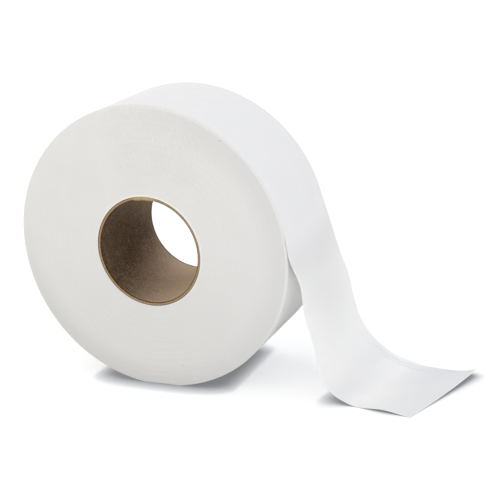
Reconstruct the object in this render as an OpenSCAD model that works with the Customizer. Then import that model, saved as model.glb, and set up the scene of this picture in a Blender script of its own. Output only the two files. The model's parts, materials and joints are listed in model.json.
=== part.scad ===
// Jumbo toilet paper roll: wound tissue on a cardboard core, standing on its rim,
// with the free end of the paper hanging down and lying out along the floor.
// Millimetres. The origin is the middle of the core's bore, +Y runs along the bore towards the back,
// +X points to the side where the tail hangs, and +Z is up.

/* [Wound paper] */
// Outside diameter of the wound roll
roll_d = 228.6; // [200:0.1:260]
// Width of the paper, and so of the roll and its core
roll_w = 88.9; // [80:0.1:110]
// Rounding of the roll's two outer edges
edge_r = 1; // [0.4:0.1:2]
// Depth of the flat spot that the roll's weight presses into its underside
flat_depth = 1; // [0.5:0.1:3]
// How far the core has sunk below the middle of the soft roll
core_drop = 1; // [0:0.1:4]
// How far the outer turns have slipped back along the core, which crowns the front face
slip = 2.6; // [0:0.1:6]

/* [Turns] */
// Number of fine grooves between groups of turns on each end face
groove_count = 12; // [4:1:16]
// Width of a groove
groove_w = 0.8; // [0.4:0.1:1.5]
// Depth of a groove
groove_depth = 0.3; // [0.1:0.05:0.6]
// Share of the pitch by which the grooves stray from even spacing
groove_stray = 0.3; // [0:0.05:0.4]

/* [Core] */
// Bore of the cardboard core
bore_d = 83.8; // [60:0.1:100]
// Wall of the core
core_wall = 2.5; // [1:0.1:5]

/* [Tail] */
// Thickness of the loose sheet
tail_t = 0.5; // [0.3:0.1:1]
// Angle above the axis at which the sheet's front edge leaves the roll
front_lift_off = 12.5; // [4:0.5:30]
// Angle above the axis at which the sheet's back edge leaves the roll
back_lift_off = 15.5; // [4:0.5:30]
// Radius of the bend on to the floor along the front edge
front_bend_r = 28.5; // [10:0.5:60]
// Radius of the bend on to the floor along the back edge
back_bend_r = 59.5; // [10:0.5:70]
// Length of sheet that lies flat beyond the bend
floor_run = 43; // [20:1:120]
// Sideways turn of the lying sheet towards the front
tail_turn = 8.5; // [0:0.5:20]
// Height of the curl at the sheet's back corner
corner_curl = 5.5; // [0:0.5:15]
// Height of the low arch along the front edge of the lying sheet
front_arch = 1.7; // [0:0.1:5]

/* [Hidden] */
$fn = 180;

roll_r = roll_d / 2;
core_r = bore_d / 2 + core_wall;
// Height of the roll's middle above the floor, and of the floor in the core's own frame
axis_h = roll_r - flat_depth;
floor_z = core_drop - axis_h;

// Depth to which the root of the tail is let into the roll's last turns
tail_sink = 0.2;
tail_in_r = roll_r - tail_sink - tail_t;
// Angle over which that root stays in the roll
root_angle = 12;
// Share of the hanging length over which the sheet comes out to its full width
flare_share = 1 / 6;
// Steps along the root, the hanging stretch, the bend and the floor, and across the sheet
ROOT_STEPS = 5;
HANG_STEPS = 6;
BEND_STEPS = 12;
FLOOR_STEPS = 6;
ACROSS_STEPS = 6;

// Steps round each outer edge
EDGE_STEPS = 4;
// Turn that spreads the grooves without a visible rhythm
GOLDEN_ANGLE = 137.5;
// Overlap that keeps cutting tools proud of the face that they cut
CUT = 1;

function mix(a, b, k) = a + (b - a) * k;

// How far a turn has slipped back, from 0 at the core to 1 at the rim
function slip_at(share) = slip * share;

// Sizes that change across the tail, from 0 at its front edge to 1 at its back edge
function lift_off(v) = mix(front_lift_off, back_lift_off, v);
function bend_r(v) = mix(front_bend_r, back_bend_r, v);
function hang_length(v) =
    let (a = lift_off(v))
    (axis_h + tail_in_r * sin(a) - bend_r(v) * (1 - sin(a))) / cos(a);
function bend_x(v) =
    let (a = lift_off(v))
    tail_in_r * cos(a) + hang_length(v) * sin(a);
function floor_x(v) = bend_x(v) + bend_r(v) * cos(lift_off(v));

// How far the sheet has moved towards the front, at a distance x from the roll's axis
function side_shift(v, x) =
    let (d = x - bend_x(v), bend = floor_x(v) - bend_x(v))
    tan(tail_turn) * (d <= 0 ? 0 : d < bend ? d * d / (2 * bend) : d - bend / 2);

// One station of the sheet's inner side: x, height above the floor, normal angle, half width
function root_station(v, k) =
    let (a = lift_off(v) + root_angle * (1 - k))
    [tail_in_r * cos(a), axis_h + tail_in_r * sin(a), a, roll_w / 2 - edge_r];
function hang_station(v, k) =
    let (a = lift_off(v), s = k * hang_length(v))
    [
        tail_in_r * cos(a) + s * sin(a),
        axis_h + tail_in_r * sin(a) - s * cos(a),
        a,
        roll_w / 2 - edge_r * max(0, 1 - k / flare_share)
    ];
function bend_station(v, k) =
    let (a = mix(lift_off(v), 90, k))
    [floor_x(v) - bend_r(v) * cos(a), bend_r(v) * (1 - sin(a)), a, roll_w / 2];
function floor_height(v, k) = corner_curl * pow(v * k * k, 2) + front_arch * (1 - v) * pow(sin(180 * k), 2);
function floor_station(v, k) = [floor_x(v) + k * floor_run, floor_height(v, k), 90, roll_w / 2];

function profile(v) = [
    for (i = [0 : ROOT_STEPS - 1]) root_station(v, i / ROOT_STEPS),
    for (i = [0 : HANG_STEPS - 1]) hang_station(v, i / HANG_STEPS),
    for (i = [0 : BEND_STEPS - 1]) bend_station(v, i / BEND_STEPS),
    for (i = [0 : FLOOR_STEPS]) floor_station(v, i / FLOOR_STEPS)
];

// A station's point on the sheet's inner side (out = 0) or outer side (out = tail_t)
function sheet_point(v, s, out) = [
    s[0] + out * cos(s[2]),
    slip + (2 * v - 1) * s[3] - side_shift(v, s[0]),
    floor_z + s[1] + out * sin(s[2])
];

// Half section of the wound paper as radius and y, closed on the axis.
// Both end faces have slipped alike, so the front one is crowned and the back one is dished.
module paper_section() {
    flat_r = roll_r - edge_r;
    face = [[core_r, 0], [flat_r, slip]];
    // Quarter round, as radius and distance from the slipped face
    round = [
        for (i = [1 : EDGE_STEPS])
            let (a = 90 * i / EDGE_STEPS)
            [flat_r + edge_r * sin(a), edge_r * (1 - cos(a))]
    ];
    centre = [[0, 0]];
    front = concat(centre, face, [for (p = round) [p[0], slip + p[1]]]);
    back = concat(centre, face, [for (p = round) [p[0], slip - p[1]]]);
    last = len(back) - 1;
    polygon(concat(
        [for (p = front) p - [0, roll_w / 2]],
        [for (i = [0 : last]) back[last - i] + [0, roll_w / 2]]
    ));
}

module wound_paper() {
    translate([0, 0, core_drop])
        rotate([90, 0, 0])
            mirror([0, 0, 1])
                rotate_extrude()
                    paper_section();
}

// A V-shaped ring that cuts one groove into the end face at y = face_y
module turn_groove(share, face_y) {
    r = mix(core_r, roll_r, share);
    flank = groove_w / 2 / groove_depth;
    out = sign(face_y);
    translate([0, face_y + slip_at(share), core_drop * share])
        rotate([-90 * out, 0, 0])
            rotate_extrude()
                polygon([
                    [r, -groove_depth],
                    [r + flank * (groove_depth + CUT), CUT],
                    [r - flank * (groove_depth + CUT), CUT]
                ]);
}

module turn_grooves() {
    for (face_y = [-roll_w / 2, roll_w / 2])
        for (i = [1 : groove_count])
            turn_groove((i + groove_stray * sin(i * GOLDEN_ANGLE)) / (groove_count + 1), face_y);
}

module flat_spot() {
    translate([-roll_r / 2, -roll_w / 2 - CUT, floor_z - flat_depth - CUT])
        cube([roll_r, roll_w + slip + 2 * CUT, flat_depth + CUT]);
}

// The loose end: a thin sheet that leaves the last turn, bends on to the floor and lies flat
module tail() {
    columns = [for (j = [0 : ACROSS_STEPS]) profile(j / ACROSS_STEPS)];
    rows = len(columns[0]);
    across = ACROSS_STEPS + 1;
    side = rows * across;
    points = [
        for (out = [0, tail_t])
            for (i = [0 : rows - 1])
                for (j = [0 : ACROSS_STEPS])
                    sheet_point(j / ACROSS_STEPS, columns[j][i], out)
    ];
    function at(i, j) = i * across + j;
    function quad(a, b, c, d) = [[a, b, c], [a, c, d]];
    inner = [
        for (i = [0 : rows - 2])
            for (j = [0 : ACROSS_STEPS - 1])
                each quad(at(i, j), at(i + 1, j), at(i + 1, j + 1), at(i, j + 1))
    ];
    outer = [for (f = inner) [f[0] + side, f[2] + side, f[1] + side]];
    rim = concat(
        [for (i = [0 : rows - 1]) at(i, 0)],
        [for (j = [1 : ACROSS_STEPS]) at(rows - 1, j)],
        [for (i = [rows - 2 : -1 : 0]) at(i, ACROSS_STEPS)],
        [for (j = [ACROSS_STEPS - 1 : -1 : 1]) at(0, j)]
    );
    edge = [
        for (k = [0 : len(rim) - 1])
            let (a = rim[k], b = rim[(k + 1) % len(rim)])
            each quad(a, a + side, b + side, b)
    ];
    polyhedron(points, concat(inner, outer, edge));
}

module paper_roll() {
    color([0.95, 0.95, 0.95])
        union() {
            difference() {
                wound_paper();
                rotate([90, 0, 0])
                    cylinder(r = core_r, h = roll_w + 2 * CUT, center = true);
                flat_spot();
                turn_grooves();
            }
            tail();
        }
}

module cardboard_core() {
    color([0.52, 0.42, 0.32])
        rotate([90, 0, 0])
            difference() {
                cylinder(r = core_r, h = roll_w, center = true);
                cylinder(d = bore_d, h = roll_w + 2 * CUT, center = true);
            }
}

paper_roll();
cardboard_core();
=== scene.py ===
"""Looks of a jumbo toilet paper roll: wound tissue on a cardboard core, with a loose tail.

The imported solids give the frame. The wound paper, its last turn with the loose tail and the core
are modelled anew in that frame, dressed with node materials and lit on a plain white floor.
"""

from __future__ import annotations

import json
import logging
import math
from collections.abc import Sequence
from dataclasses import dataclass
from enum import Enum
from typing import Any

import bpy
import numpy as np
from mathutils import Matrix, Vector

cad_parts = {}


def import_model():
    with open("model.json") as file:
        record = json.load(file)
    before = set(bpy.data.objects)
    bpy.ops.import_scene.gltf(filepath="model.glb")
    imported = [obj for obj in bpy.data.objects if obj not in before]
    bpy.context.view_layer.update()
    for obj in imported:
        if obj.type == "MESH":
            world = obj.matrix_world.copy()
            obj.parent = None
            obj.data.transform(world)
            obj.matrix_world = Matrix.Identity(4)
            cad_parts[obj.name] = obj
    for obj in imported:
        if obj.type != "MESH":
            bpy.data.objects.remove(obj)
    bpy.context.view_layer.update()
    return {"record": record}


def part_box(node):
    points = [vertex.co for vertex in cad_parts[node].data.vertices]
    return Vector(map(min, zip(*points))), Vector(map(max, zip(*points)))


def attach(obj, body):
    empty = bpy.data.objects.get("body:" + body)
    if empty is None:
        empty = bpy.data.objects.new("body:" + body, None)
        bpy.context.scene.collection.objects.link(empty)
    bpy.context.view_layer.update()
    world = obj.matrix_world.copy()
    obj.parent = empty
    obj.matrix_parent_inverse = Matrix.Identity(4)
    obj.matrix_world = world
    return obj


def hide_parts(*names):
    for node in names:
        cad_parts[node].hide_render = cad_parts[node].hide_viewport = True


LOG = logging.getLogger("paper_roll")
MM = 0.001
Colour = tuple[float, float, float, float]
Tint = tuple[float, float, float]
Span = tuple[float, float]


def smooth_step(low: float, high: float, value: np.ndarray) -> np.ndarray:
    """Ease from 0 to 1 between two limits.

    Args:
        low: Value at which the result leaves 0.
        high: Value at which the result reaches 1.
        value: Values to ease.

    Returns:
        The eased values.
    """
    share = np.clip((value - low) / (high - low), 0.0, 1.0)
    return share * share * (3.0 - 2.0 * share)


def soft_floor(height: np.ndarray, floor: float, blend: float) -> np.ndarray:
    """Keep heights above a floor with a soft shoulder, as a pressed soft roll has.

    Args:
        height: Heights to limit.
        floor: Lowest height allowed.
        blend: Height over which the shoulder is rounded.

    Returns:
        The limited heights.
    """
    above = (height - floor) / blend
    return floor + blend * np.where(above > 12.0, above, np.log1p(np.exp(np.minimum(above, 12.0))))


def deselect_all() -> None:
    """Leave edit mode and deselect every object."""
    if bpy.context.object and bpy.context.object.mode != "OBJECT":
        bpy.ops.object.mode_set(mode="OBJECT")
    bpy.ops.object.select_all(action="DESELECT")


def activate(piece: bpy.types.Object) -> None:
    """Make one object the only selected and active one.

    Args:
        piece: The object to work on.
    """
    deselect_all()
    piece.select_set(True)
    bpy.context.view_layer.objects.active = piece


def coordinates(piece: bpy.types.Object) -> np.ndarray:
    """Read a mesh's vertices.

    Args:
        piece: The object to read.

    Returns:
        Rows of x, y, z.
    """
    flat = np.empty(len(piece.data.vertices) * 3)
    piece.data.vertices.foreach_get("co", flat)
    return flat.reshape(-1, 3)


def set_coordinates(piece: bpy.types.Object, points: np.ndarray) -> None:
    """Write an array of rows x, y, z back to a mesh's vertices."""
    piece.data.vertices.foreach_set("co", points.ravel())
    piece.data.update()


def spin_section(name: str, section: Sequence[tuple[float, float]], steps: int) -> bpy.types.Object:
    """Draw a closed section by extruding one vertex along it, and spin it round the bore.

    Args:
        name: Name of the new piece.
        section: Radius and y of each corner, in order.
        steps: Number of segments in the full turn.

    Returns:
        The new piece, with its doubles merged and its normals outwards.
    """
    deselect_all()
    start = Vector((section[0][0], section[0][1], 0.0))
    bpy.ops.mesh.primitive_plane_add(size=MM, location=start)
    piece = bpy.context.object
    piece.name = name
    bpy.ops.object.transform_apply(location=True, rotation=True, scale=True)
    bpy.ops.object.mode_set(mode="EDIT")
    bpy.ops.mesh.select_all(action="SELECT")
    bpy.ops.mesh.merge(type="CENTER")
    here = start
    for radius, y in [*section[1:], section[0]]:
        there = Vector((radius, y, 0.0))
        bpy.ops.mesh.extrude_region_move(TRANSFORM_OT_translate={"value": there - here})
        here = there
    bpy.ops.mesh.select_all(action="SELECT")
    bpy.ops.mesh.spin(steps=steps, angle=math.tau, center=(0, 0, 0), axis=(0, 1, 0))
    bpy.ops.mesh.select_all(action="SELECT")
    bpy.ops.mesh.remove_doubles(threshold=0.002 * MM)
    bpy.ops.mesh.normals_make_consistent(inside=False)
    bpy.ops.object.mode_set(mode="OBJECT")
    return piece


def smooth_by_angle(piece: bpy.types.Object, degrees: float) -> None:
    """Shade a piece smooth, apart from edges sharper than an angle."""
    activate(piece)
    bpy.ops.object.shade_smooth_by_angle(angle=math.radians(degrees))


class Wire:
    """A shader socket that takes part in Python arithmetic."""

    def __init__(self, graph: Graph, socket: bpy.types.NodeSocket) -> None:
        """Wrap one output socket of a graph."""
        self.graph = graph
        self.socket = socket

    def maths(self, operation: str, *operands: Any) -> Wire:
        """Add a Math node on numbers or wires.

        Args:
            operation: Name of the Math node's operation.
            operands: Values of its sockets, in order.

        Returns:
            The node's result.
        """
        return self.graph.wire("ShaderNodeMath", {"operation": operation}, dict(enumerate(operands)))

    def __add__(self, other: Any) -> Wire:
        """Sum of two values."""
        return self.maths("ADD", self, other)

    def __radd__(self, other: Any) -> Wire:
        """Sum of two values."""
        return self.maths("ADD", other, self)

    def __sub__(self, other: Any) -> Wire:
        """Difference of two values."""
        return self.maths("SUBTRACT", self, other)

    def __rsub__(self, other: Any) -> Wire:
        """Difference of two values."""
        return self.maths("SUBTRACT", other, self)

    def __mul__(self, other: Any) -> Wire:
        """Product of two values."""
        return self.maths("MULTIPLY", self, other)

    def __rmul__(self, other: Any) -> Wire:
        """Product of two values."""
        return self.maths("MULTIPLY", other, self)

    def __truediv__(self, other: Any) -> Wire:
        """Quotient of two values."""
        return self.maths("DIVIDE", self, other)

    def __rtruediv__(self, other: Any) -> Wire:
        """Quotient of two values."""
        return self.maths("DIVIDE", other, self)

    def __abs__(self) -> Wire:
        """Size of a value without its sign."""
        return self.maths("ABSOLUTE", self)

    def root(self) -> Wire:
        """Square root of a value."""
        return self.maths("SQRT", self)

    def between(self, low: float, high: float) -> Wire:
        """Ease from 0 to 1 between two limits.

        Args:
            low: Value at which the result leaves 0, which may be the larger of the two.
            high: Value at which the result reaches 1.

        Returns:
            The eased value.
        """
        settings = {"interpolation_type": "SMOOTHSTEP"}
        sockets = {"Value": self, "From Min": low, "From Max": high}
        return self.graph.wire("ShaderNodeMapRange", settings, sockets)


class Graph:
    """The node tree of one material or of the world."""

    def __init__(self, tree: bpy.types.NodeTree) -> None:
        """Start from an empty node tree."""
        self.tree = tree
        tree.nodes.clear()

    def node(self, kind: str, settings: dict[str, Any], sockets: dict[Any, Any]) -> bpy.types.Node:
        """Add one node.

        Args:
            kind: Blender's type name of the node.
            settings: Its own settings, which are set first.
            sockets: Numbers, colours or wires for its inputs, by name or index.

        Returns:
            The new node.
        """
        made = self.tree.nodes.new(kind)
        for name, value in settings.items():
            setattr(made, name, value)
        for key, value in sockets.items():
            if isinstance(value, Wire):
                self.tree.links.new(value.socket, made.inputs[key])
            else:
                made.inputs[key].default_value = value
        return made

    def wire(
        self, kind: str, settings: dict[str, Any], sockets: dict[Any, Any], output: Any = 0
    ) -> Wire:
        """Add one node and give back one of its outputs as a wire."""
        return Wire(self, self.node(kind, settings, sockets).outputs[output])

    def coordinate(self, name: str) -> tuple[Wire, Wire, Wire]:
        """Read a texture coordinate.

        Args:
            name: Name of the coordinate, such as Object or UV.

        Returns:
            Its three parts.
        """
        place = self.wire("ShaderNodeTexCoord", {}, {}, name)
        split = self.node("ShaderNodeSeparateXYZ", {}, {0: place})
        return tuple(Wire(self, out) for out in split.outputs)

    def vector(self, x: Any, y: Any, z: Any) -> Wire:
        """Join three values to a vector."""
        return self.wire("ShaderNodeCombineXYZ", {}, {0: x, 1: y, 2: z})

    def noise(self, place: Wire, scale: float, detail: float) -> Wire:
        """Cloudy noise about 0, from about -0.5 to 0.5."""
        sockets = {"Vector": place, "Scale": scale, "Detail": detail, "Roughness": 0.55}
        return self.wire("ShaderNodeTexNoise", {}, sockets) - 0.5

    def mix(self, factor: Wire, first: Any, second: Any) -> Wire:
        """Blend two colours by a factor from 0 to 1."""
        settings = {"data_type": "RGBA", "clamp_factor": True}
        return self.wire("ShaderNodeMix", settings, {0: factor, 6: first, 7: second}, 2)

    def bump(self, height: Wire) -> Wire:
        """Normal of a surface raised by a height in metres."""
        return self.wire("ShaderNodeBump", {}, {"Strength": 1.0, "Distance": 1.0, "Height": height})

    def finish(
        self, colour: Wire, normal: Wire, constants: dict[str, Any], through: Wire | None = None
    ) -> None:
        """Close the tree with a Principled shader and the output.

        Args:
            colour: Base colour.
            normal: Normal of the surface.
            constants: Plain values of other Principled sockets.
            through: Share of the light that a thin sheet lets through.
        """
        sockets = {"Base Color": colour, "Normal": normal, **constants}
        surface = self.wire("ShaderNodeBsdfPrincipled", {}, sockets)
        if through is not None:
            back_lit = self.wire("ShaderNodeBsdfTranslucent", {}, {"Color": grey(1.0)})
            surface = self.wire("ShaderNodeMixShader", {}, {0: through, 1: surface, 2: back_lit})
        self.node("ShaderNodeOutputMaterial", {}, {"Surface": surface})


def grey(level: float, tint: Tint = (1.0, 1.0, 1.0)) -> Colour:
    """Make an opaque colour from a level and a tint."""
    return (level * tint[0], level * tint[1], level * tint[2], 1.0)


def new_graph(name: str) -> tuple[bpy.types.Material, Graph]:
    """Make a material with an empty node tree.

    Args:
        name: Name of the material.

    Returns:
        The material and its graph.
    """
    material = bpy.data.materials.new(name)
    material.use_nodes = True
    return material, Graph(material.node_tree)


def dress(piece: bpy.types.Object, material: bpy.types.Material) -> None:
    """Give a piece one material all over."""
    piece.data.materials.clear()
    piece.data.materials.append(material)


@dataclass(frozen=True)
class RollSizes:
    """Driving sizes of the roll in metres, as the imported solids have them."""

    roll_r: float
    core_r: float
    bore_r: float
    half_w: float
    floor_z: float
    drop: float
    slip: float = 2.6 * MM
    sheet_t: float = 0.3 * MM

    @classmethod
    def from_frame(cls, record: dict[str, Any]) -> RollSizes:
        """Read the sizes from the nodes' boxes and the record's bore.

        Args:
            record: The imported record.

        Returns:
            The sizes of this roll.
        """
        low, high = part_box("paper_roll")
        core_low, core_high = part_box("cardboard_core")
        bore = next(mount for mount in record["mounts"] if mount["name"] == "core_bore")
        return cls(
            roll_r=-low.x,
            core_r=(core_high.z - core_low.z) / 2,
            bore_r=bore["dims"]["r_mm"] * MM,
            half_w=(core_high.y - core_low.y) / 2,
            floor_z=low.z,
            drop=high.z + low.x,
        )

    @property
    def pack_r(self) -> float:
        """Radius of the wound paper under its last turn."""
        return self.roll_r - self.sheet_t

    @property
    def axis_h(self) -> float:
        """Height of the roll's middle above the floor."""
        return self.drop - self.floor_z


@dataclass(frozen=True)
class Crease:
    """One fine crease of the web, between two places given as distance across and along it."""

    start: tuple[float, float]
    stop: tuple[float, float]
    width: float
    height: float


class PaperSide(Enum):
    """The two sides of the tissue that are seen: cut edges of the turns, and the flat web."""

    TURNS = "tissue_turns"
    WEB = "tissue_web"


@dataclass(frozen=True)
class TissueFinish:
    """Soft white two-ply tissue."""

    sizes: RollSizes
    web_ends: tuple[float, float]
    white: float = 0.89
    # Near-white of the painted highlight along the web's cut end and front edge.
    painted_highlight_white: float = 0.99
    lip_white: float = 0.95
    rim_white: float = 0.92
    # Painted light: the loose tail is painted a lighter white than the wound part of the same web.
    painted_light_tail_white: float = 0.955
    # Painted shade: the part lying on the floor is painted a darker, bluer white than the rest of the same
    # web.
    shaded_lying_white: float = 0.835
    lets_through: float = 0.43
    # Painted light: the wound web's start, which lies in the tail's shade, is painted whiter, fading out
    # over its first 130 mm.
    painted_light_white: float = 0.985
    painted_light_reach: float = 130 * MM
    turn_length: float = 708 * MM
    painted_light_tail_span: Span = (-5 * MM, 40 * MM)
    lying_shade_span: Span = (158 * MM, 202 * MM)
    thin_span: Span = (10 * MM, 62 * MM)
    backed_span: Span = (165 * MM, 105 * MM)
    # Painted highlight lines along the cut end and along the front edge of the lower tail.
    front_highlight_span: Span = (100 * MM, 140 * MM)
    cut_end_highlight: Span = (1.2 * MM, 0.5 * MM)
    front_edge_highlight: Span = (1.1 * MM, 0.4 * MM)
    crepe_scales: Span = (260.0, 1300.0)
    crepe_h: float = 0.035 * MM
    web_fibre_scale: float = 900.0
    web_fibre_h: float = 0.03 * MM
    web_cloud_scale: float = 60.0
    web_cloud_h: float = 0.25 * MM
    creases: tuple[Crease, ...] = (
        Crease((79 * MM, 842 * MM), (79.5 * MM, 905 * MM), 1.1 * MM, 0.45 * MM),
        Crease((83 * MM, 836 * MM), (84 * MM, 893 * MM), 1.0 * MM, -0.45 * MM),
        Crease((56 * MM, 505 * MM), (37 * MM, 575 * MM), 1.2 * MM, 0.4 * MM),
    )
    # Painted shade on the face: a grey band inside the rim, weighted by direction round the face and
    # heavier over the lower half.
    painted_shade_white: float = 0.795
    painted_shade_width: float = 26 * MM
    painted_shade_below: float = 0.4
    # Painted highlight: the outermost 2 mm of the face are kept free of the painted shade.
    painted_highlight_edge: Span = (0.3 * MM, 2.2 * MM)
    lip: Span = (1.5 * MM, 0.9 * MM)
    ring_scale: float = 1500.0
    ring_h: float = 0.03 * MM
    ring_wander: float = 1.2 * MM
    fibre_scale: float = 1100.0
    fibre_h: float = 0.06 * MM
    cloud_scale: float = 45.0
    saw_scale: float = 84.0
    saw_length: float = 130.0
    saw_h: float = 0.55 * MM
    saw_lean: float = math.radians(80.0)
    saw_sector: Span = (0.80, 0.97)
    saw_band: Span = (8 * MM, 24 * MM)
    fleck_r: Span = (0.65 * MM, 0.25 * MM)
    fleck_grey: float = 0.5
    flecks: tuple[tuple[float, float], ...] = (
        (111.6 * MM, math.radians(53.3)),
        (95.6 * MM, math.radians(-77.3)),
    )
    tint: Tint = (1.0, 0.998, 0.993)
    # Bluer tint of the painted shade on the lying part.
    shaded_lying_tint: Tint = (0.987, 0.993, 1.015)
    mottle: float = 0.025
    constants = {
        "Roughness": 0.92,
        "Specular IOR Level": 0.15,
        "Sheen Weight": 0.06,
        "Sheen Roughness": 0.6,
    }

    def material(self, side: PaperSide) -> bpy.types.Material:
        """Make the material of one side of the tissue.

        Args:
            side: Cut edges of the turns, or flat web.

        Returns:
            The material.
        """
        material, graph = new_graph(side.value)
        build = {PaperSide.TURNS: self._turns, PaperSide.WEB: self._web}[side]
        colour, height, through = build(graph)
        graph.finish(colour, graph.bump(height), self.constants, through)
        return material

    def _mottled(self, graph: Graph, cloud: Wire, white: float, tint: Tint) -> Wire:
        """Vary a tinted white by a cloud.

        Args:
            graph: Node tree of the material.
            cloud: Cloud about 0.
            white: Level of the white.
            tint: Tint of the white.

        Returns:
            The colour.
        """
        low = grey(white * (1 - self.mottle), tint)
        high = grey(white * (1 + self.mottle), tint)
        return graph.mix(cloud + 0.5, low, high)

    def _turns(self, graph: Graph) -> tuple[Wire, Wire, None]:
        """Cut edges of the turns: fine rings, fibres, and the saw's wavy radial marks.

        Args:
            graph: Node tree of the material.

        Returns:
            The colour, the height for the bump in metres, and no share of light let through.
        """
        x, y, z = graph.coordinate("Object")
        place = graph.vector(x, y, z)
        radius = (x * x + z * z).root()
        across, up = x / radius, z / radius
        wander = graph.noise(place, 14.0, 1.0) * self.ring_wander
        rings = graph.noise(graph.vector(radius + wander, y * 0.02, 0.0), self.ring_scale, 2.0)
        ray_place = graph.vector(across * self.saw_scale, up * self.saw_scale, radius * self.saw_length)
        rays = graph.noise(ray_place, 1.0, 2.0)
        facing = across * math.cos(self.saw_lean) + up * math.sin(self.saw_lean)
        from_core = radius - self.sizes.core_r
        sawn = rays * facing.between(*self.saw_sector) * from_core.between(*self.saw_band)
        fibres = graph.noise(place, self.fibre_scale, 3.0)
        height = rings * self.ring_h + fibres * self.fibre_h + sawn * self.saw_h
        cloud = graph.noise(place, self.cloud_scale, 3.0) + rings * 0.2 + fibres * 0.8 + sawn * 1.2
        colour = self._mottled(graph, cloud, self.white, self.tint)
        # Painted shade: grey inside the rim, weighted by direction round the face and heavier over the
        # lower half, where the face turns from the light.
        from_rim = self.sizes.pack_r - radius
        painted_shade = from_rim.between(self.painted_shade_width, 2 * MM)
        painted_shade = painted_shade * (0.5 + across * 0.25 - up * 0.2 + across * up * 0.73)
        painted_shade = painted_shade + up.between(0.3, -0.9) * self.painted_shade_below
        # Painted highlight: the painted shade is lifted off the outermost 2 mm, leaving a light line along
        # the rounded edge.
        painted_shade = painted_shade * from_rim.between(*self.painted_highlight_edge)
        colour = graph.mix(painted_shade, colour, grey(self.painted_shade_white, self.tint))
        for out, turn in self.flecks:
            dx = x - out * math.cos(turn)
            dz = z - out * math.sin(turn)
            spot = (dx * dx + dz * dz).root().between(*self.fleck_r) * y.between(0.0, -5 * MM)
            colour = graph.mix(spot, colour, grey(self.fleck_grey))
        return graph.mix(from_core.between(*self.lip), colour, grey(self.lip_white)), height, None

    def _crease(self, across: Wire, along: Wire, crease: Crease) -> Wire:
        """Lay one crease on the web, which fades at its two ends.

        Args:
            across: Distance across the web.
            along: Distance along the web.
            crease: The crease.

        Returns:
            Share of the crease's height at each place.
        """
        slope = (crease.stop[0] - crease.start[0]) / (crease.stop[1] - crease.start[1])
        off = abs(across - crease.start[0] - (along - crease.start[1]) * slope)
        fade = 0.3 * (crease.stop[1] - crease.start[1])
        begun = along.between(crease.start[1], crease.start[1] + fade)
        ended = along.between(crease.stop[1], crease.stop[1] - fade)
        return off.between(crease.width, 0.0) * begun * ended

    def _web(self, graph: Graph) -> tuple[Wire, Wire, Wire]:
        """Flat web: crepe across the paper, fibres, and a few fine lengthwise creases.

        Args:
            graph: Node tree of the material.

        Returns:
            The colour, the height for the bump in metres, and the share of light let through.
        """
        across, along, _ = graph.coordinate("UV")
        wide, fine = self.crepe_scales
        crepe = graph.noise(graph.vector(across * wide, along * fine, 0.0), 1.0, 2.0)
        fibres = graph.noise(graph.vector(across, along, 0.0), self.web_fibre_scale, 3.0)
        cloud = graph.noise(graph.vector(across, along * 0.6, 0.0), self.web_cloud_scale, 3.0)
        height = crepe * self.crepe_h + fibres * self.web_fibre_h + cloud * self.web_cloud_h
        for crease in self.creases:
            height = height + self._crease(across, along, crease) * crease.height
        past = along - self.turn_length
        laid = past.between(*self.lying_shade_span)
        tone = cloud + crepe * 0.3
        wound = self._mottled(graph, tone, self.rim_white, self.tint)
        # Painted light: a lighter copy of the web's white for the loose tail.
        loose = self._mottled(graph, tone, self.painted_light_tail_white, self.tint)
        # Painted shade: a darker, bluer copy of the web's white for the part lying on the floor.
        lying = self._mottled(graph, tone, self.shaded_lying_white, self.shaded_lying_tint)
        # Painted light: the wound web under the tail is painted whiter where the tail shades it.
        painted_light_strip = along.between(self.painted_light_reach, 0.5 * self.painted_light_reach)
        wound = graph.mix(painted_light_strip, wound, grey(self.painted_light_white, self.tint))
        colour = graph.mix(laid, graph.mix(past.between(*self.painted_light_tail_span), wound, loose), lying)
        # Painted highlight: a thin near-white line along the cut end and along the front edge of the lower
        # tail, as if its edges caught the light.
        front, back = self.web_ends
        ahead = front + across * ((back - front) / (2 * self.sizes.half_w)) - along
        front_edge_highlight = across.between(*self.front_edge_highlight) * past.between(*self.front_highlight_span)
        colour = graph.mix(ahead.between(*self.cut_end_highlight) + front_edge_highlight, colour, grey(self.painted_highlight_white))
        through = past.between(*self.thin_span) * past.between(*self.backed_span) * self.lets_through
        return colour, height, through


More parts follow.
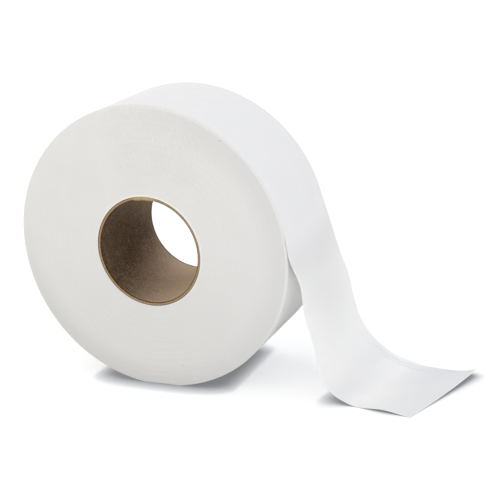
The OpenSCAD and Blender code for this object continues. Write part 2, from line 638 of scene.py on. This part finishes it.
@dataclass(frozen=True)
class BoardFinish:
    """Grey-brown board of the core, with ply lines on its cut ends."""

    sizes: RollSizes
    plies: int
    dark: Colour = (0.062, 0.034, 0.012, 1.0)
    pale: Colour = (0.660, 0.500, 0.355, 1.0)
    cut_pale: Colour = (0.550, 0.365, 0.180, 1.0)
    cut_dark: Colour = (0.045, 0.020, 0.007, 1.0)
    torn: Colour = (0.700, 0.520, 0.310, 1.0)
    fibre_scale: float = 1150.0
    fibre_h: float = 0.12 * MM
    cloud_scale: float = 120.0
    cloud_h: float = 0.1 * MM
    # Painted light: the bore's wall is paler towards the lower right and the back, where light falling in
    # from the upper left lands.
    painted_light_low_right_span: Span = (-20 * MM, 33 * MM)
    # Painted light: the bore's wall is paler towards the top and the back, standing for light bounced up
    # from the floor.
    painted_light_top_span: Span = (0.0, 58 * MM)
    # Painted shadow: a dark band just inside the far end of the bore.
    far_edge_shadow: Span = (2.6 * MM, 1.4 * MM)
    cut_depth: Span = (1.1 * MM, 0.8 * MM)
    ply_wobble: float = 0.35 * MM
    ply_edge: Span = (0.36, 0.70)
    ply_seam: Span = (0.16, 0.02)
    torn_sector: Span = (0.965, 0.99)
    constants = {"Roughness": 0.85, "Specular IOR Level": 0.25}

    def material(self) -> bpy.types.Material:
        """Make the board's material.

        Returns:
            The material, which reads Object coordinates.
        """
        material, graph = new_graph("core_board_plies")
        x, y, z = graph.coordinate("Object")
        place = graph.vector(x, y, z)
        radius = (x * x + z * z).root()
        fibre = graph.noise(graph.vector(x, y * 0.6, z), self.fibre_scale, 3.0)
        cloud = graph.noise(place, self.cloud_scale, 2.0)
        # Painted light: paler board towards the lower right and the back of the bore.
        painted_light_low_right = (x * 0.7 - z * 0.6 + y * 0.32).between(*self.painted_light_low_right_span)
        # Painted light: paler board towards the top and the back of the bore.
        painted_light_top = (z + y * 0.5).between(*self.painted_light_top_span)
        grain_and_painted_light = fibre * (0.9 + painted_light_low_right * 0.5) + cloud * 0.2 + 0.07 + painted_light_low_right * 0.95 + painted_light_top * 0.5
        wall = graph.mix(grain_and_painted_light, self.dark, self.pale)
        # Painted shadow: darkens the wall just inside the far end of the bore.
        far_edge_shadow = (self.sizes.half_w - y).between(*self.far_edge_shadow)
        wall = graph.mix(far_edge_shadow * 0.75, wall, self.dark)
        ply_t = (self.sizes.core_r - self.sizes.bore_r) / self.plies
        wobble = graph.noise(place, 70.0, 1.0) * self.ply_wobble
        off_seam = abs((radius + wobble - self.sizes.bore_r) / ply_t - 1.0)
        line = off_seam.between(*self.ply_edge) + off_seam.between(*self.ply_seam) * 0.55
        torn = (z / radius).between(*self.torn_sector) * y.between(0.0, -10 * MM)
        cut = graph.mix(line * (1.0 - torn * 0.7) + fibre * 1.1, self.cut_pale, self.cut_dark)
        cut = graph.mix(torn * (fibre * 3.0 + 0.4), cut, self.torn)
        end = (self.sizes.half_w - abs(y)).between(*self.cut_depth)
        height = fibre * self.fibre_h + cloud * self.cloud_h
        graph.finish(graph.mix(end, wall, cut), graph.bump(height), self.constants)
        return material


@dataclass(frozen=True)
class WoundPaper:
    """All turns but the last, with both end faces slipped back along the core."""

    sizes: RollSizes
    rings: int = 126
    steps: int = 256
    edge_r: float = 0.5 * MM
    soft_edge: float = 1.5 * MM
    lip_w: float = 1.0 * MM
    lip_h: float = 0.45 * MM
    groups: int = 12
    group_step: float = 0.03 * MM
    rim_steps: int = 12
    swell: float = 0.22 * MM
    shoulder: float = 0.08 * MM

    def _face(self) -> list[tuple[float, float]]:
        """Radius and slip of each ring of an end face, from the lip at the core to the rim.

        Returns:
            Pairs of radius and distance back along the core.
        """
        inner = self.sizes.core_r
        outer = self.sizes.pack_r - self.edge_r
        share = np.linspace(0.0, 1.0, self.rings)
        radius = inner + (outer - inner) * share
        slip = (self.sizes.slip - self.soft_edge) * share**2 + self.soft_edge * share**9
        phase = share * (self.groups + 1) * math.tau
        stray = 0.9 * np.sin(share * 31.0) + 0.5 * np.sin(share * 73.0)
        relief = self.group_step * np.sin(phase + stray)
        lip = self.lip_h * (1.0 - smooth_step(0.2 * self.lip_w, self.lip_w, radius - inner))
        return list(zip(radius, slip + relief * smooth_step(0.02, 0.08, share) - lip, strict=True))

    def _section(self) -> list[tuple[float, float]]:
        """Close the half section: front face, front edge, rim, back edge, back face and bore.

        Returns:
            Radius and y of each corner.
        """
        half = self.sizes.half_w
        face = self._face()
        edge_start, edge_slip = face[-1]
        turns = [math.radians(a) for a in (22.5, 45.0, 67.5, 90.0)]
        round_off = [
            (edge_start + self.edge_r * math.sin(a), self.edge_r * (1.0 - math.cos(a))) for a in turns
        ]
        front = [(r, slip - half) for r, slip in face]
        front += [(r, edge_slip - half + back) for r, back in round_off]
        inner = face[0][0]
        dish = [self.sizes.slip * ((r - inner) / (edge_start - inner)) ** 2 for r, _ in face]
        rear = [(r, half + deep) for (r, _), deep in zip(face, dish, strict=True)]
        rear += [(r, half + dish[-1] - back) for r, back in round_off]
        first, last, steps = front[-1], rear[-1], self.rim_steps
        rim = [(first[0], first[1] + (last[1] - first[1]) * k / steps) for k in range(1, steps)]
        return front + rim + rear[::-1]

    def build(self) -> bpy.types.Object:
        """Spin the section, then let the soft roll sag on its core and on the floor.

        Returns:
            The wound paper.
        """
        piece = spin_section("wound_paper", self._section(), self.steps)
        points = coordinates(piece)
        x, y, z = points.T
        radius = np.hypot(x, z)
        turn = np.arctan2(z, x)
        share = np.clip((radius - self.sizes.core_r) / (self.sizes.pack_r - self.sizes.core_r), 0.0, 1.0)
        end = smooth_step(0.8, 0.97, np.abs(y - self.sizes.slip * share) / self.sizes.half_w)
        swell = np.sin(2 * turn + 0.6) + 0.6 * np.sin(3 * turn + 5.0 * share)
        points[:, 1] += self.swell * swell * np.sin(math.pi * share) * end
        points[:, 2] += self.sizes.drop * share
        points[:, 2] = soft_floor(points[:, 2], self.sizes.floor_z + self.sizes.sheet_t, self.shoulder)
        set_coordinates(piece, points)
        smooth_by_angle(piece, 50.0)
        return piece


@dataclass(frozen=True)
class Wave:
    """One ridge or hollow across the hanging paper, from its front edge to its back edge."""

    front_at: float
    back_at: float
    front_height: float
    back_height: float
    spread: float

    def height(self, along: np.ndarray, across: np.ndarray) -> np.ndarray:
        """Height of the wave in metres.

        Args:
            along: Distance along the paper from where it leaves the roll.
            across: Share of the width, from 0 at the front edge to 1 at the back.

        Returns:
            Heights outwards from the paper.
        """
        at = self.front_at + (self.back_at - self.front_at) * across
        top = self.front_height + (self.back_height - self.front_height) * across
        return top * np.exp(-(((along - at) / self.spread) ** 2))


@dataclass(frozen=True)
class LooseTail:
    """The last turn and the tail: one length of web that leaves the roll and lies on the floor."""

    sizes: RollSizes
    front_lift_off: float = math.radians(12.5)
    back_lift_off: float = math.radians(15.5)
    front_bend_r: float = 28.5 * MM
    back_bend_r: float = 59.5 * MM
    floor_run: float = 43 * MM
    tail_turn: float = math.radians(8.5)
    corner_curl: float = 5.5 * MM
    front_arch: float = 1.7 * MM
    rest_gap: float = 0.06 * MM
    edge_inset: float = 0.35 * MM
    start_gap: float = math.radians(4.0)
    start_dive: float = 0.72 * MM
    dive_share: float = 0.016
    flare_share: float = 1 / 6
    wave_start: Span = (4 * MM, 26 * MM)
    wave_end: float = 12 * MM
    wave_left: float = 0.25
    clear_span: Span = (20 * MM, 60 * MM)
    shoulder: float = 0.06 * MM
    across_steps: int = 40
    turn_steps: int = 288
    hang_steps: int = 64
    bend_steps: int = 56
    floor_steps: int = 36
    waves: tuple[Wave, ...] = (
        Wave(24 * MM, 24 * MM, -1.3 * MM, 0.0, 13 * MM),
        Wave(47 * MM, 73 * MM, 2.0 * MM, 1.2 * MM, 13 * MM),
        Wave(73 * MM, 98 * MM, -1.2 * MM, -0.5 * MM, 12 * MM),
        Wave(118 * MM, 122 * MM, -1.0 * MM, -0.6 * MM, 18 * MM),
        Wave(147 * MM, 167 * MM, 0.6 * MM, 0.7 * MM, 10 * MM),
    )

    def _stations(self, across: np.ndarray) -> tuple[np.ndarray, ...]:
        """Lay out the web's inner side, column by column across its width.

        Args:
            across: Share of the width of each column.

        Returns:
            Arrays of rows along the web: x, height above the floor, angle of the normal,
            half width, and shift towards the front.
        """
        size = self.sizes
        lift = self.front_lift_off + (self.back_lift_off - self.front_lift_off) * across
        bend = self.front_bend_r + (self.back_bend_r - self.front_bend_r) * across
        inner = size.pack_r
        hang = (size.axis_h + inner * np.sin(lift) - bend * (1 - np.sin(lift))) / np.cos(lift)
        bend_x = inner * np.cos(lift) + hang * np.sin(lift)
        floor_x = bend_x + bend * np.cos(lift)
        narrow = size.half_w - self.edge_inset

        k = np.linspace(0.0, 1.0, self.turn_steps, endpoint=False)[:, None]
        angle = lift + (math.tau - self.start_gap) * (1 - k)
        radius = inner - self.start_dive * (1 - smooth_step(0.0, self.dive_share, k))
        turn = (radius * np.cos(angle), size.axis_h + radius * np.sin(angle), angle, narrow + 0 * angle)

        k = np.linspace(0.0, 1.0, self.hang_steps, endpoint=False)[:, None]
        flare = size.half_w - self.edge_inset * np.clip(1 - k / self.flare_share, 0, 1)
        drop = (
            inner * np.cos(lift) + k * hang * np.sin(lift),
            size.axis_h + inner * np.sin(lift) - k * hang * np.cos(lift),
            lift + 0 * k,
            flare + 0 * lift,
        )

        k = np.linspace(0.0, 1.0, self.bend_steps, endpoint=False)[:, None]
        angle = lift + (math.pi / 2 - lift) * k
        curve = (floor_x - bend * np.cos(angle), bend * (1 - np.sin(angle)), angle, size.half_w + 0 * angle)

        k = np.linspace(0.0, 1.0, self.floor_steps + 1)[:, None]
        lying = self.corner_curl * (across * k * k) ** 2
        lying = lying + self.front_arch * (1 - across) * np.sin(math.pi * k) ** 2
        flat = (floor_x + k * self.floor_run, lying, math.pi / 2 + 0 * lying, size.half_w + 0 * lying)

        parts = zip(turn, drop, curve, flat, strict=True)
        x, height, normal, half = (np.concatenate(rows) for rows in parts)
        ahead = x - bend_x
        reach = floor_x - bend_x
        shift = np.where(ahead < reach, np.maximum(ahead, 0) ** 2 / (2 * reach), ahead - reach / 2)
        shift[: self.turn_steps] = 0.0
        return x, height, normal, half, math.tan(self.tail_turn) * shift

    def _grid(self) -> tuple[np.ndarray, np.ndarray]:
        """Work out the web's points and their distance along it.

        Returns:
            Points by row along and column across, and distances from the web's hidden start.
        """
        across = np.linspace(0.0, 1.0, self.across_steps + 1)[None, :]
        x, height, angle, half, shift = self._stations(across)
        steps = np.hypot(np.diff(x, axis=0), np.diff(height, axis=0))
        along = np.concatenate([np.zeros((1, steps.shape[1])), np.cumsum(steps, axis=0)])
        from_roll = along - along[self.turn_steps]
        out = sum(wave.height(from_roll, across) for wave in self.waves)
        out = out * smooth_step(*self.wave_start, from_roll)
        before_floor = along[-1] - self.floor_run - along
        fade = smooth_step(0.0, self.wave_end, before_floor)
        out = out * (self.wave_left + (1 - self.wave_left) * fade)
        height = height + out * np.sin(angle)
        x = x + out * np.cos(angle)
        free = smooth_step(*self.clear_span, from_roll)
        lowest = self.sizes.sheet_t * (1 - free)
        height = soft_floor(height, lowest, self.shoulder) + self.rest_gap * free
        y = self.sizes.slip + (2 * across - 1) * half - shift
        return np.stack([x, y, self.sizes.floor_z + height], axis=-1), along

    def build(self) -> bpy.types.Object:
        """Make the web as a thin sheet with its own flat map in metres.

        Returns:
            The last turn with the loose tail.
        """
        points, along = self._grid()
        rows, columns = points.shape[:2]
        index = np.arange(rows * columns).reshape(rows, columns)
        quads = np.stack([index[:-1, :-1], index[1:, :-1], index[1:, 1:], index[:-1, 1:]], axis=-1)
        mesh = bpy.data.meshes.new("loose_tail")
        mesh.from_pydata(points.reshape(-1, 3).tolist(), [], quads.reshape(-1, 4).tolist())
        width = 2 * self.sizes.half_w
        flat = np.stack([np.broadcast_to(np.linspace(0, width, columns), along.shape), along], axis=-1)
        loops = np.empty(len(mesh.loops), dtype=np.int64)
        mesh.loops.foreach_get("vertex_index", loops)
        layer = mesh.uv_layers.new(name="web")
        layer.data.foreach_set("uv", flat.reshape(-1, 2)[loops].ravel())
        piece = bpy.data.objects.new("loose_tail", mesh)
        bpy.context.scene.collection.objects.link(piece)
        activate(piece)
        wall = piece.modifiers.new("sheet", "SOLIDIFY")
        wall.thickness = self.sizes.sheet_t
        wall.offset = 1.0
        wall.use_even_offset = False
        bpy.ops.object.modifier_apply(modifier=wall.name)
        smooth_by_angle(piece, 50.0)
        return piece

    def ends(self) -> tuple[float, float]:
        """Length of the web along its front edge and along its back edge."""
        _, along = self._grid()
        return float(along[-1, 0]), float(along[-1, -1])

    def flat_size(self) -> tuple[float, float]:
        """Width and length of the web laid flat, in metres."""
        _, along = self._grid()
        return 2 * self.sizes.half_w, float(along[-1].mean())


@dataclass(frozen=True)
class CardboardCore:
    """Spiral-wound board tube with uneven cut ends."""

    sizes: RollSizes
    plies: int = 2
    steps: int = 288
    wall_steps: int = 20
    groove: float = 0.14 * MM
    ragged: float = 0.10 * MM
    torn_at: float = math.radians(91.0)
    torn_span: float = math.radians(12.0)
    torn_depth: float = 0.9 * MM
    torn_inward: float = 1.5 * MM
    rough_waves: tuple[int, ...] = (5, 17, 43, 71, 97)
    wall_margin: float = 1.2 * MM
    rough_band: Span = (0.9 * MM, 0.4 * MM)

    def _end(self) -> list[tuple[float, float]]:
        """Draw one cut end from the bore to the outside, with a groove at each ply.

        Returns:
            Radius and depth of each corner.
        """
        ply_t = (self.sizes.core_r - self.sizes.bore_r) / self.plies
        corners = [(self.sizes.bore_r, 2.2 * self.groove)]
        for ply in range(self.plies):
            start = self.sizes.bore_r + ply * ply_t
            set_back = self.groove * 0.5 * (1.0 + math.sin(2.4 * ply))
            corners += [(start + share * ply_t, set_back) for share in (0.16, 0.5, 0.84)]
            corners.append((start + ply_t, set_back + self.groove))
        return corners

    def build(self) -> bpy.types.Object:
        """Spin the wall's section, then roughen the cut ends and tear the front one.

        Returns:
            The core.
        """
        half = self.sizes.half_w
        end = self._end()
        spread = np.linspace(-1.0, 1.0, self.wall_steps)[1:-1] * (half - self.wall_margin)
        section = [(r, depth - half) for r, depth in end]
        section += [(self.sizes.core_r, y) for y in spread]
        section += [(r, half - depth) for r, depth in reversed(end)]
        section += [(self.sizes.bore_r, y) for y in reversed(spread)]
        piece = spin_section("core_tube", section, self.steps)
        points = coordinates(piece)
        x, y, z = points.T
        turn = np.arctan2(z, x)
        radius = np.hypot(x, z)
        depth = (radius - self.sizes.bore_r) / (self.sizes.core_r - self.sizes.bore_r)
        near_end = smooth_step(*self.rough_band, half - np.abs(y))
        waves = self.rough_waves
        rough = sum(np.sin(n * turn + 2.1 * n + 3.0 * depth) / (1 + n / 40) for n in waves)
        points[:, 1] -= np.sign(y) * near_end * self.ragged * (0.7 + 0.35 * rough)
        torn = np.exp(-(((turn - self.torn_at) / self.torn_span) ** 2)) * (y < 0) * near_end
        shred = 0.6 + 0.4 * np.sin(67 * turn) * np.sin(41 * turn + 4 * depth)
        points[:, 1] += self.torn_depth * torn * shred * (1 - depth)
        inward = self.torn_inward * torn * shred * (1 - depth)
        points[:, 0] -= inward * np.cos(turn)
        points[:, 2] -= inward * np.sin(turn)
        set_coordinates(piece, points)
        smooth_by_angle(piece, 40.0)
        return piece


@dataclass(frozen=True)
class Lamp:
    """One soft square lamp aimed at the roll."""

    name: str
    place: tuple[float, float, float]
    size: float
    power: float
    colour: Tint

    def build(self, aim: Vector) -> None:
        """Add the lamp and turn it to a point.

        Args:
            aim: The point.
        """
        deselect_all()
        bpy.ops.object.light_add(type="AREA", location=self.place)
        lamp = bpy.context.object
        lamp.name = self.name
        lamp.data.shape = "SQUARE"
        lamp.data.size = self.size
        lamp.data.energy = self.power
        lamp.data.color = self.colour
        lamp.rotation_euler = (aim - Vector(self.place)).to_track_quat("-Z", "Y").to_euler()


@dataclass(frozen=True)
class Studio:
    """White floor, plain soft light and the camera."""

    sizes: RollSizes
    sky: float = 0.775
    sky_tint: Tint = (0.985, 0.99, 1.015)
    floor_r: float = 9.0
    floor_white: float = 0.60
    floor_shade: Colour = (0.26, 0.27, 0.29, 1.0)
    shade_reach: float = 16 * MM
    shade_full: float = 0.6
    shade_curve: float = 0.66
    shade_samples: int = 16
    shade_glow: Colour = (0.13, 0.135, 0.145, 1.0)
    floor_bounce: float = 0.56
    far_glow: Colour = (0.60, 0.60, 0.60, 1.0)
    near_glow: Colour = (0.535, 0.54, 0.545, 1.0)
    near_r: float = 0.30
    far_r: float = 1.20
    lens: float = 90.0
    sensor_w: float = 36.0
    clip: Span = (0.01, 50.0)
    lamp_aim: tuple[float, float, float] = (0.05, 0.0, 0.0)
    fitted_drop: float = 1.0 * MM
    camera_place: tuple[float, float, float] = (0.44493, -0.85705, 0.2912)
    camera_turn: tuple[float, float, float] = (72.227, 3.633, 22.672)
    lamps: tuple[Lamp, ...] = (
        Lamp("left_lamp", (-1.00, -0.95, 0.65), 0.45, 3.7, (1.0, 0.935, 0.68)),
        Lamp("front_lamp", (0.85, -1.10, 0.15), 0.45, 1.6, (1.0, 0.995, 0.98)),
        Lamp("right_lamp", (1.25, -0.45, 0.05), 0.5, 3.0, (0.985, 0.99, 1.0)),
        Lamp("back_lamp", (-0.50, 0.55, 1.00), 0.8, 1.9, (0.985, 0.99, 1.01)),
    )

    def _seen(self, graph: Graph) -> Wire:
        """Tell which rays show the background: from the camera, a gloss or a clear surface.

        Args:
            graph: Node tree of the floor or the world.

        Returns:
            1 for such a ray and 0 for any other.
        """
        paths = graph.node("ShaderNodeLightPath", {}, {})
        names = ("Is Camera Ray", "Is Glossy Ray", "Is Transmission Ray")
        camera, gloss, clear = (Wire(graph, paths.outputs[name]) for name in names)
        return camera.maths("MAXIMUM", camera, gloss.maths("MAXIMUM", gloss, clear))

    def _world(self) -> None:
        """Light the scene evenly from all round, and show it white."""
        world = bpy.data.worlds.new("studio")
        bpy.context.scene.world = world
        world.use_nodes = True
        graph = Graph(world.node_tree)
        seen = self._seen(graph)
        colour = graph.mix(seen, grey(self.sky, self.sky_tint), grey(1.0))
        light = graph.wire("ShaderNodeBackground", {}, {"Color": colour, "Strength": 1.0})
        graph.node("ShaderNodeOutputWorld", {}, {"Surface": light})

    def _floor(self) -> None:
        """Lay a white floor that keeps the roll's shadow."""
        deselect_all()
        bpy.ops.mesh.primitive_circle_add(
            vertices=96, radius=self.floor_r, fill_type="NGON", location=(0, 0, self.sizes.floor_z)
        )
        floor = bpy.context.object
        floor.name = "floor"
        bpy.ops.object.transform_apply(location=True, rotation=True, scale=True)
        material, graph = new_graph("white_floor")
        seen = self._seen(graph)
        settings = {"samples": self.shade_samples, "only_local": False}
        reach = {"Distance": self.shade_reach}
        open_sky = graph.wire("ShaderNodeAmbientOcclusion", settings, reach, 1)
        covered = (1.0 - open_sky) / self.shade_full
        clear = 1.0 - covered.maths("POWER", covered, self.shade_curve)
        shaded = graph.mix(clear, self.floor_shade, grey(self.floor_white))
        white = graph.mix(seen, grey(self.floor_bounce), shaded)
        plain = graph.wire("ShaderNodeBsdfDiffuse", {}, {"Color": white})
        x, y, _ = graph.coordinate("Object")
        away = (x * x + y * y).root().between(self.near_r, self.far_r)
        tint = graph.mix(clear, self.shade_glow, graph.mix(away, self.near_glow, self.far_glow))
        glow = graph.wire("ShaderNodeEmission", {}, {"Color": tint, "Strength": seen})
        both = graph.wire("ShaderNodeAddShader", {}, {0: plain, 1: glow})
        graph.node("ShaderNodeOutputMaterial", {}, {"Surface": both})
        dress(floor, material)

    def _camera(self) -> None:
        """Place the camera where the photographer stood."""
        deselect_all()
        place = Vector(self.camera_place) + Vector((0, 0, self.sizes.drop - self.fitted_drop))
        bpy.ops.object.camera_add(location=place, rotation=[math.radians(a) for a in self.camera_turn])
        camera = bpy.context.object
        camera.name = "camera"
        camera.data.lens = self.lens
        camera.data.sensor_width = self.sensor_w
        camera.data.clip_start, camera.data.clip_end = self.clip
        bpy.context.scene.camera = camera

    def build(self) -> None:
        """Set up the light, the floor and the camera."""
        bpy.context.scene.view_settings.view_transform = "Standard"
        self._world()
        self._floor()
        for lamp in self.lamps:
            lamp.build(Vector(self.lamp_aim))
        self._camera()


def place_piece(
    piece: bpy.types.Object, material: bpy.types.Material, node: str
) -> bpy.types.Object:
    """Dress a piece and let it stand for a solid.

    Args:
        piece: The finished piece.
        material: Its material.
        node: The solid that it stands for.

    Returns:
        The same piece.
    """
    dress(piece, material)
    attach(piece, "root")
    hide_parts(node)
    LOG.info("%s: %d faces", piece.name, len(piece.data.polygons))
    return piece


def main() -> None:
    """Build the roll and its studio in order."""
    logging.basicConfig(level=logging.INFO)
    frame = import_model()
    sizes = RollSizes.from_frame(frame["record"])
    Studio(sizes).build()

    tail = LooseTail(sizes)
    tissue = TissueFinish(sizes, tail.ends())
    wound = place_piece(
        WoundPaper(sizes).build(), tissue.material(PaperSide.TURNS), "paper_roll"
    )
    web = place_piece(tail.build(), tissue.material(PaperSide.WEB), "paper_roll")
    tail.flat_size()
    core = CardboardCore(sizes)
    board = BoardFinish(sizes, core.plies)
    place_piece(core.build(), board.material(), "cardboard_core")


if __name__ == "__main__":
    main()
